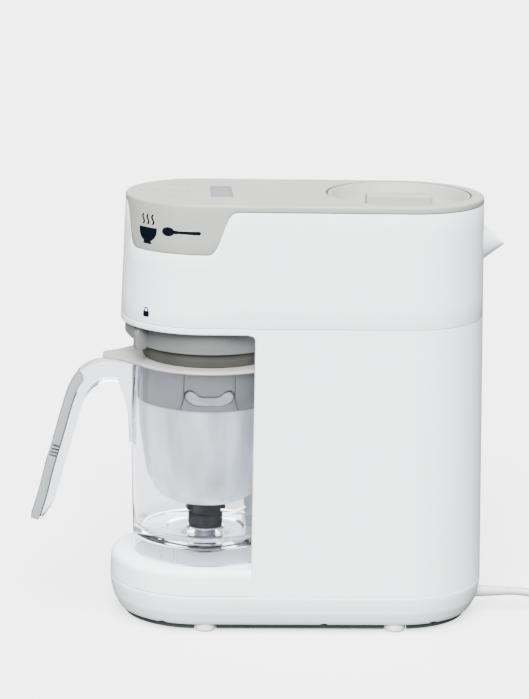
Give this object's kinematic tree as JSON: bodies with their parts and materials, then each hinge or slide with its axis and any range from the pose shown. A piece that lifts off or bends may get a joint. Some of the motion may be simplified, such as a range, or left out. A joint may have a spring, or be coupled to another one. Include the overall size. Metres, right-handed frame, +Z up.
{
  "type": "baby food maker",
  "caption": "Steaming and blending baby food maker: upright rounded housing with a water tank, control top, and a clear handled jug with basket and blade in a front bay.",
  "frame": {"origin": "centre of the outline on the surface that the feet stand on, measured without the mains lead", "axes": "+X from the jug handle towards the water tank and the mains lead, +Y away from the badge side, +Z up"},
  "size_m": [0.5035, 0.2007, 0.33],
  "materials": {
    "white_shell": "satin white moulded plastic",
    "warm_grey_cover": "fine matte warm grey moulded plastic",
    "mid_grey": "matte mid grey moulded plastic",
    "dark_grey": "matte dark grey moulded plastic",
    "foot_white": "soft milky white rubber",
    "steel": "plain steel",
    "aluminium": "cast aluminium",
    "display_grey": "smooth display window",
    "circuit_board": "green circuit board",
    "tank_white": "milky moulded plastic",
    "dark_rubber": "dark silicone rubber",
    "silicone": "translucent silicone",
    "clear_plastic": "clear moulded plastic",
    "frosted_basket": "frosted translucent plastic",
    "band_grey": "matte grey plastic",
    "lid_grey": "satin light grey plastic",
    "hub_charcoal": "charcoal moulded plastic",
    "black_plastic": "black moulded plastic",
    "lead_white": "white flexible plastic"
  },
  "bodies": {
    "housing": {"base_tray": "white_shell", "bottom_cover": "dark_grey", "foot_1": "foot_white", "foot_2": "foot_white", "foot_3": "foot_white", "foot_4": "foot_white", "base_screw_1": "steel", "base_screw_2": "steel", "base_screw_3": "steel", "base_screw_4": "steel", "tower_housing": "white_shell", "head_shell": "white_shell", "top_cover": "warm_grey_cover", "display_window": "display_grey", "control_board": "circuit_board", "head_frame": "mid_grey", "drain_spout": "white_shell", "water_tank": "tank_white", "steam_boiler": "aluminium", "heating_element": "steel", "steam_tube": "silicone", "steam_nozzle": "steel", "spindle_bearing": "steel", "drive_belt": "dark_rubber", "chassis_plate": "black_plastic", "motor_bracket": "steel", "motor_can": "steel", "power_board": "circuit_board", "lid_switch": "black_plastic", "cord_gland": "lead_white", "power_cord": "lead_white", "cord_coil": "lead_white", "plug": "lead_white"},
    "lock_lever": {"lock_lever": "mid_grey"},
    "steam_cap": {"steam_cap": "mid_grey", "cap_seal": "dark_rubber"},
    "jug": {"jug": "clear_plastic", "jug_handle": "clear_plastic", "handle_strip": "mid_grey", "basket_bowl": "frosted_basket", "basket_band": "band_grey", "blade_bush": "steel"},
    "jug_lid": {"jug_lid": "lid_grey", "lid_gasket": "dark_rubber"},
    "blade": {"blade_shaft": "steel", "blade_hub": "hub_charcoal", "chopping_blade": "steel", "driven_coupling": "hub_charcoal"},
    "spindle": {"spindle": "steel", "driven_pulley": "black_plastic", "drive_dog": "hub_charcoal"},
    "rotor": {"motor_rotor": "steel", "motor_pulley": "steel", "cooling_fan": "black_plastic"},
    "tank_lid_seal": {"tank_lid_seal": "dark_rubber"},
    "tank_lid": {"tank_lid": "warm_grey_cover"},
    "key_1": {"key_1": "warm_grey_cover"},
    "key_2": {"key_2": "warm_grey_cover"},
    "key_3": {"key_3": "warm_grey_cover"},
    "key_4": {"key_4": "warm_grey_cover"}
  },
  "joints": [
    {"name": "lock_lever_turn", "type": "hinge", "parent": "housing", "child": "lock_lever", "pos_m": [-0.0443, 0, 0.2235], "axis": [0, 0, -1], "range_deg": [0, 60]},
    {"name": "steam_cap_lift", "type": "slide", "parent": "housing", "child": "steam_cap", "axis": [0, 0, 1], "range_m": [0, 0.006]},
    {"name": "jug_pull", "type": "slide", "parent": "housing", "child": "jug", "axis": [-1, 0, 0], "range_m": [0, 0.2], "deforming": ["drive_dog"]},
    {"name": "jug_lid_turn", "type": "hinge", "parent": "jug", "child": "jug_lid", "pos_m": [-0.0443, 0, 0.203], "axis": [0, 0, 1], "range_deg": [0, 30]},
    {"name": "rotor_spin", "type": "hinge", "parent": "housing", "child": "rotor", "pos_m": [0.095, 0, 0.085], "axis": [0, 0, 1], "continuous": true},
    {"name": "spindle_spin", "type": "hinge", "parent": "housing", "child": "spindle", "pos_m": [-0.0443, 0, 0.03], "axis": [0, 0, 1], "continuous": true},
    {"name": "blade_spin", "type": "hinge", "parent": "jug", "child": "blade", "pos_m": [-0.0443, 0, 0.07], "axis": [0, 0, 1], "continuous": true},
    {"name": "tank_lid_lift", "type": "slide", "parent": "housing", "child": "tank_lid_seal", "axis": [0, 0, 1], "range_m": [0, 0.06]},
    {"name": "tank_lid_turn", "type": "hinge", "parent": "tank_lid_seal", "child": "tank_lid", "pos_m": [0.0985, 0, 0.325], "axis": [0, 0, 1], "range_deg": [0, 45]},
    {"name": "key_1_press", "type": "slide", "parent": "housing", "child": "key_1", "axis": [0, 0, -1], "range_m": [0, 0.0008], "stiffness_N_per_m": 800},
    {"name": "key_2_press", "type": "slide", "parent": "housing", "child": "key_2", "axis": [0, 0, -1], "range_m": [0, 0.0008], "stiffness_N_per_m": 800},
    {"name": "key_3_press", "type": "slide", "parent": "housing", "child": "key_3", "axis": [0, 0, -1], "range_m": [0, 0.0008], "stiffness_N_per_m": 800},
    {"name": "key_4_press", "type": "slide", "parent": "housing", "child": "key_4", "axis": [0, 0, -1], "range_m": [0, 0.0008], "stiffness_N_per_m": 800}
  ],
  "couplings": [
    {"joint": "steam_cap_lift", "follows": "lock_lever_turn", "m_per_rad": 0.0057},
    {"joint": "spindle_spin", "follows": "rotor_spin", "ratio": 0.4139},
    {"joint": "blade_spin", "follows": "rotor_spin", "ratio": 0.4139}
  ]
}
